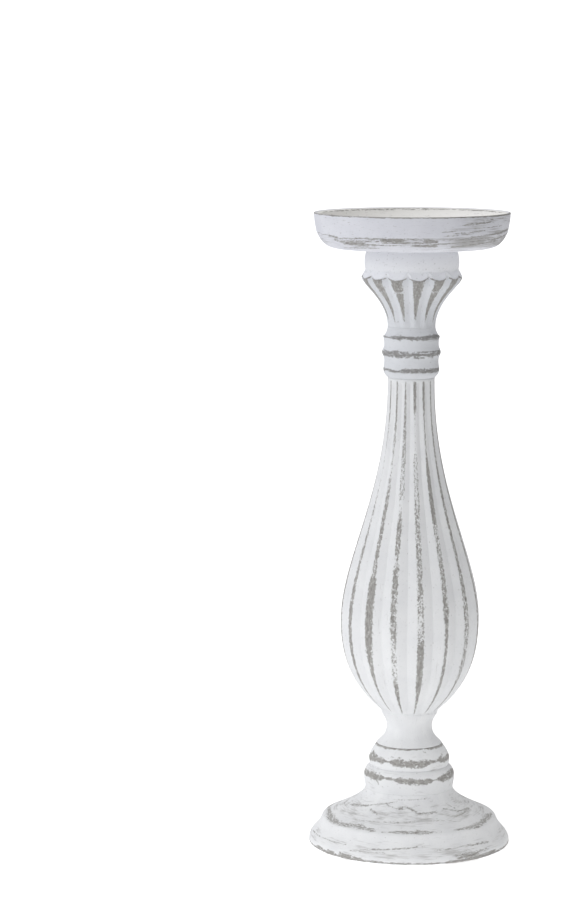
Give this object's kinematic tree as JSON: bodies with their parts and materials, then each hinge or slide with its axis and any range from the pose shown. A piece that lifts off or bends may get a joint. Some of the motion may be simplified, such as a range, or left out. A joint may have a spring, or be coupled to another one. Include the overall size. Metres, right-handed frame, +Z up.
{
  "type": "pillar candlestick",
  "caption": "Tall turned wooden candlestick with a fluted pear-shaped baluster, ridged collar, fluted capital and shallow dish for one pillar candle.",
  "frame": {"origin": "on the ground under the turning axis, at the underside of the felt pad", "axes": "+Z up along the turning axis, -Y towards the front; the object is round, so the front is only the side that the flutes are counted from"},
  "size_m": [0.1088, 0.1088, 0.3422],
  "materials": {
    "foot_paint": "chalky white paint, brushed thin and rubbed through to grey on the shoulder and the bottom edge",
    "pedestal_paint": "chalky white paint rubbed through to warm grey on the crests of both beads and on the upper edge",
    "baluster_paint": "chalky white paint rubbed through to warm grey along the crests between the flutes",
    "collar_paint": "chalky white paint rubbed through to grey along three ridges",
    "capital_paint": "chalky white paint with grey rubbed lands between the flutes, smooth on the band",
    "dish_paint": "chalky white paint with dry-brushed grey streaks around the lower edge and a rubbed rim",
    "bare_wood": "unfinished beech dowel",
    "zinc_steel": "zinc-plated steel screws",
    "felt": "dark pressed felt"
  },
  "bodies": {
    "root": {"foot_felt": "felt", "foot": "foot_paint", "foot_screw": "zinc_steel", "pedestal": "pedestal_paint", "baluster": "baluster_paint", "neck_dowel": "bare_wood", "neck_collar": "collar_paint", "capital": "capital_paint", "candle_dish": "dish_paint", "dish_screw": "zinc_steel", "dish_screw_plug": "dish_paint"}
  },
  "joints": []
}
